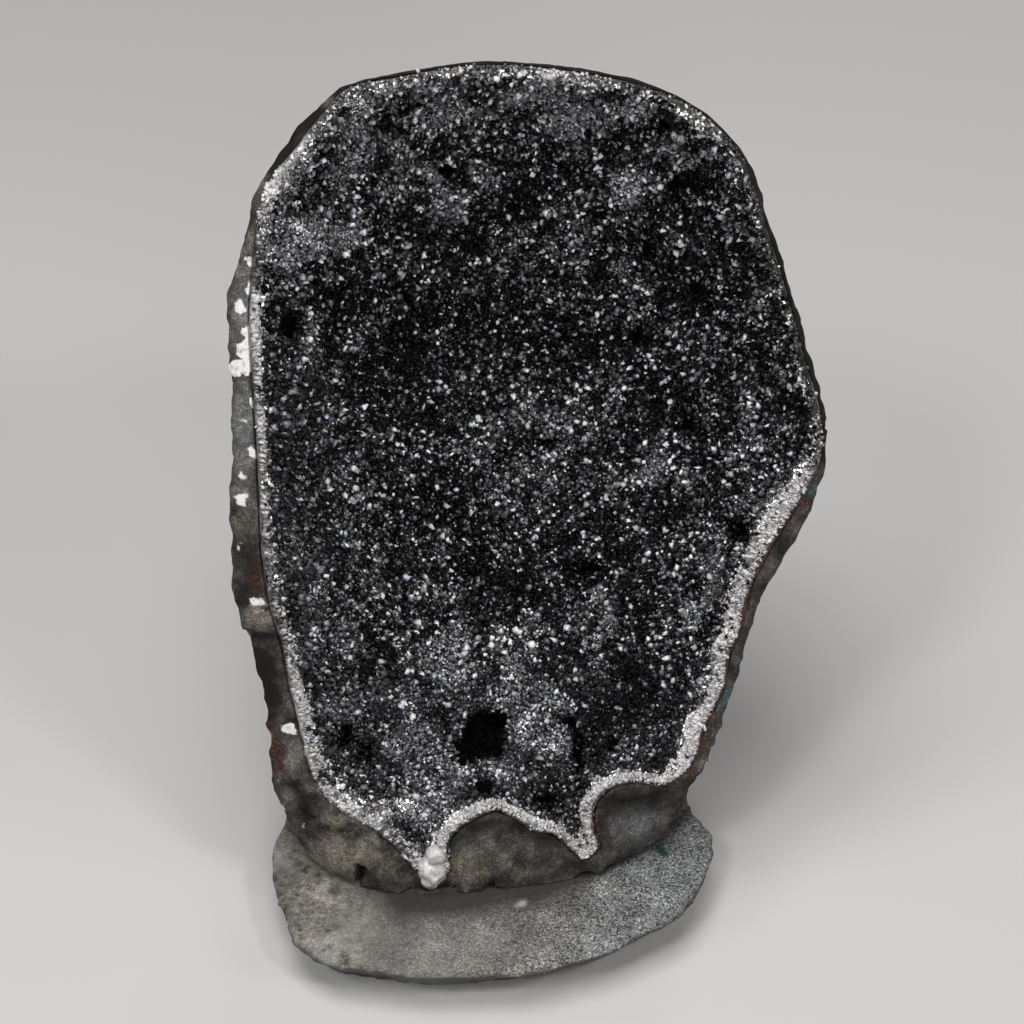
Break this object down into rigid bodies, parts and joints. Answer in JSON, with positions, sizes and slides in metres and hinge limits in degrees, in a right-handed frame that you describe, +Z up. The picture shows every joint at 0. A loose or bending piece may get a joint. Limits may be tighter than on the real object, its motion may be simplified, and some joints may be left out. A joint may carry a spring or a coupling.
{
  "type": "half geode of dark quartz on a stone slab",
  "caption": "Free-standing half geode with a basalt rind and a cavity lined with dark druzy quartz, on a rough stone slab.",
  "frame": {"origin": "on the table under the middle of the whole piece", "axes": "+Z up, -Y out of the opening towards the viewer, +X to the viewer's right"},
  "size_m": [0.1194, 0.1194, 0.1764],
  "materials": {
    "basalt_rind": "rough broken brown-grey basalt",
    "smoky_druse": "glossy dark quartz crystals with a pale broken edge",
    "grey_basalt": "matt speckled grey stone"
  },
  "bodies": {
    "root": {"geode_shell": "basalt_rind", "crystal_crust": "smoky_druse", "stone_base": "grey_basalt"}
  },
  "joints": []
}
